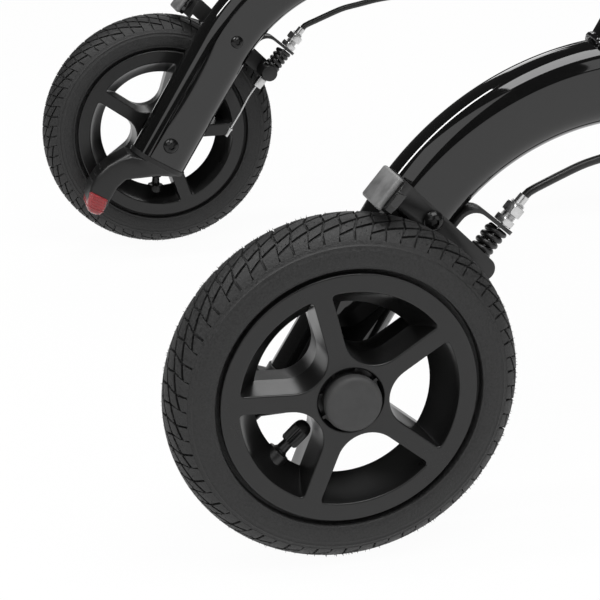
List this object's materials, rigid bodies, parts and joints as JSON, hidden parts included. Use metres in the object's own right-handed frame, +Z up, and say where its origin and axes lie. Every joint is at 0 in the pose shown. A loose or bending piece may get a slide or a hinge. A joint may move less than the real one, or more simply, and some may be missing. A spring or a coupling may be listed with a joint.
{
  "type": "all terrain rollator",
  "caption": "Black all terrain rollator with pneumatic wheels, arched oval-tube side frames, cable brakes on the rear tyres, swivel front casters, and a sideways-folding seat.",
  "frame": {"origin": "on the floor, at the middle of the rollator's length and width", "axes": "+X to the walker's right, +Y forward, +Z up"},
  "size_m": [0.6446, 0.717, 0.9105],
  "materials": {
    "frame_paint": "gloss",
    "dark_metal": "satin",
    "dark_plastic": "matte",
    "reflector_red": "gloss",
    "zinc_steel": "satin",
    "black_bolt": "satin",
    "bearing_steel": "polished",
    "cable_jacket": "satin",
    "rim_plastic": "satin",
    "tyre_rubber": "matte",
    "pad_rubber": "matte",
    "spring_steel": "satin",
    "post_aluminium": "satin",
    "grip_rubber": "matte",
    "seat_fabric": "woven"
  },
  "bodies": {
    "frame_left": {"arch_left": "frame_paint", "upright_left": "frame_paint", "head_left": "dark_metal", "toe_left": "dark_plastic", "reflector_left": "reflector_red", "bolts_left": "black_bolt", "brake_bracket_left": "dark_metal", "adjuster_left": "zinc_steel", "cable_left": "cable_jacket", "collar_left": "dark_plastic", "pivot_brackets_left": "dark_metal", "brake_spring_left": "spring_steel"},
    "rear_wheel_left": {"rear_rim_left": "rim_plastic", "rear_tyre_left": "tyre_rubber", "rear_bearings_left": "bearing_steel", "hub_cap_left": "dark_plastic"},
    "caster_left": {"fork_left": "dark_metal"},
    "front_wheel_left": {"front_rim_left": "rim_plastic", "front_tyre_left": "tyre_rubber"},
    "brake_left": {"brake_arm_left": "dark_metal", "brake_pad_left": "pad_rubber", "cable_clamp_left": "zinc_steel"},
    "handle_left": {"handle_post_left": "post_aluminium", "grip_left": "grip_rubber"},
    "brake_lever_left": {"lever_left": "dark_plastic"},
    "height_knob_left": {"knob_left": "dark_plastic"},
    "seat_left": {"seat_board_left": "dark_plastic", "seat_pad_left": "seat_fabric"},
    "spread_left": {"spreader_left": "frame_paint"},
    "back_left": {"backrest_left": "seat_fabric"},
    "frame_right": {"arch_right": "frame_paint", "upright_right": "frame_paint", "head_right": "dark_metal", "toe_right": "dark_plastic", "reflector_right": "reflector_red", "bolts_right": "black_bolt", "brake_bracket_right": "dark_metal", "adjuster_right": "zinc_steel", "cable_right": "cable_jacket", "collar_right": "dark_plastic", "pivot_brackets_right": "dark_metal", "brake_spring_right": "spring_steel"},
    "rear_wheel_right": {"rear_rim_right": "rim_plastic", "rear_tyre_right": "tyre_rubber", "rear_bearings_right": "bearing_steel", "hub_cap_right": "dark_plastic"},
    "caster_right": {"fork_right": "dark_metal"},
    "front_wheel_right": {"front_rim_right": "rim_plastic", "front_tyre_right": "tyre_rubber"},
    "brake_right": {"brake_arm_right": "dark_metal", "brake_pad_right": "pad_rubber", "cable_clamp_right": "zinc_steel"},
    "handle_right": {"handle_post_right": "post_aluminium", "grip_right": "grip_rubber"},
    "brake_lever_right": {"lever_right": "dark_plastic"},
    "height_knob_right": {"knob_right": "dark_plastic"},
    "seat_right": {"seat_board_right": "dark_plastic", "seat_pad_right": "seat_fabric"},
    "spread_right": {"spreader_right": "frame_paint"},
    "back_right": {"backrest_right": "seat_fabric"}
  },
  "joints": [
    {"name": "fold", "type": "hinge", "parent": "frame_left", "child": "seat_left", "pos_m": [-0.212, 0.0943, 0.52], "axis": [0, -1, 0], "range_deg": [0, 70]},
    {"name": "seat_middle", "type": "hinge", "parent": "seat_left", "child": "seat_right", "pos_m": [0, 0.0943, 0.52], "axis": [0, 1, 0], "range_deg": [0, 140]},
    {"name": "frame_right_fold", "type": "hinge", "parent": "seat_right", "child": "frame_right", "pos_m": [0.212, 0.0943, 0.52], "axis": [0, -1, 0], "range_deg": [0, 70]},
    {"name": "spreader_left_fold", "type": "hinge", "parent": "frame_left", "child": "spread_left", "pos_m": [-0.212, 0.0943, 0.25388], "axis": [0, -1, 0], "range_deg": [0, 70]},
    {"name": "backrest_left_fold", "type": "hinge", "parent": "frame_left", "child": "back_left", "pos_m": [-0.212, 0.03378, 0.768], "axis": [0, 0, 1], "range_deg": [0, 70]},
    {"name": "rear_wheel_left_spin", "type": "hinge", "parent": "frame_left", "child": "rear_wheel_left", "pos_m": [-0.2965, -0.2585, 0.1], "axis": [1, 0, 0], "continuous": true},
    {"name": "caster_left_swivel", "type": "hinge", "parent": "frame_left", "child": "caster_left", "pos_m": [-0.2515, 0.3035, 0.212], "axis": [0, 0, 1], "continuous": true},
    {"name": "front_wheel_left_spin", "type": "hinge", "parent": "caster_left", "child": "front_wheel_left", "pos_m": [-0.2515, 0.2585, 0.1], "axis": [1, 0, 0], "continuous": true},
    {"name": "handle_left_height", "type": "slide", "parent": "frame_left", "child": "handle_left", "axis": [0, -0.3746, 0.9272], "range_m": [0, 0.08]},
    {"name": "height_knob_left_turn", "type": "hinge", "parent": "frame_left", "child": "height_knob_left", "pos_m": [-0.2515, 0.0146, 0.81548], "axis": [1, 0, 0], "continuous": true},
    {"name": "brake_lever_left_squeeze", "type": "hinge", "parent": "handle_left", "child": "brake_lever_left", "pos_m": [-0.2515, -0.06234, 0.859], "axis": [-1, 0, 0], "range_deg": [0, 14], "stiffness_Nm_per_rad": 1.5, "springref_deg": -8.59},
    {"name": "brake_arm_left_swing", "type": "hinge", "parent": "frame_left", "child": "brake_left", "pos_m": [-0.272, -0.201, 0.1845], "axis": [1, 0, 0], "range_deg": [0, 2.4], "deforming": ["brake_spring_left"]},
    {"name": "spreader_right_fold", "type": "hinge", "parent": "frame_right", "child": "spread_right", "pos_m": [0.212, 0.0943, 0.25388], "axis": [0, 1, 0], "range_deg": [0, 70]},
    {"name": "backrest_right_fold", "type": "hinge", "parent": "frame_right", "child": "back_right", "pos_m": [0.212, 0.03378, 0.768], "axis": [0, 0, -1], "range_deg": [0, 70]},
    {"name": "rear_wheel_right_spin", "type": "hinge", "parent": "frame_right", "child": "rear_wheel_right", "pos_m": [0.2965, -0.2585, 0.1], "axis": [1, 0, 0], "continuous": true},
    {"name": "caster_right_swivel", "type": "hinge", "parent": "frame_right", "child": "caster_right", "pos_m": [0.2515, 0.3035, 0.212], "axis": [0, 0, 1], "continuous": true},
    {"name": "front_wheel_right_spin", "type": "hinge", "parent": "caster_right", "child": "front_wheel_right", "pos_m": [0.2515, 0.2585, 0.1], "axis": [1, 0, 0], "continuous": true},
    {"name": "handle_right_height", "type": "slide", "parent": "frame_right", "child": "handle_right", "axis": [0, -0.3746, 0.9272], "range_m": [0, 0.08]},
    {"name": "height_knob_right_turn", "type": "hinge", "parent": "frame_right", "child": "height_knob_right", "pos_m": [0.2515, 0.0146, 0.81548], "axis": [1, 0, 0], "continuous": true},
    {"name": "brake_lever_right_squeeze", "type": "hinge", "parent": "handle_right", "child": "brake_lever_right", "pos_m": [0.2515, -0.06234, 0.859], "axis": [-1, 0, 0], "range_deg": [0, 14], "stiffness_Nm_per_rad": 1.5, "springref_deg": -8.59},
    {"name": "brake_arm_right_swing", "type": "hinge", "parent": "frame_right", "child": "brake_right", "pos_m": [0.272, -0.201, 0.1845], "axis": [1, 0, 0], "range_deg": [0, 2.4], "deforming": ["brake_spring_right"]}
  ],
  "couplings": [
    {"joint": "seat_middle", "follows": "fold", "ratio": 2},
    {"joint": "frame_right_fold", "follows": "fold", "ratio": 1},
    {"joint": "spreader_left_fold", "follows": "fold", "ratio": 1},
    {"joint": "backrest_left_fold", "follows": "fold", "ratio": 1},
    {"joint": "brake_arm_left_swing", "follows": "brake_lever_left_squeeze", "ratio": 0.17143},
    {"joint": "spreader_right_fold", "follows": "fold", "ratio": 1},
    {"joint": "backrest_right_fold", "follows": "fold", "ratio": 1},
    {"joint": "brake_arm_right_swing", "follows": "brake_lever_right_squeeze", "ratio": 0.17143}
  ]
}
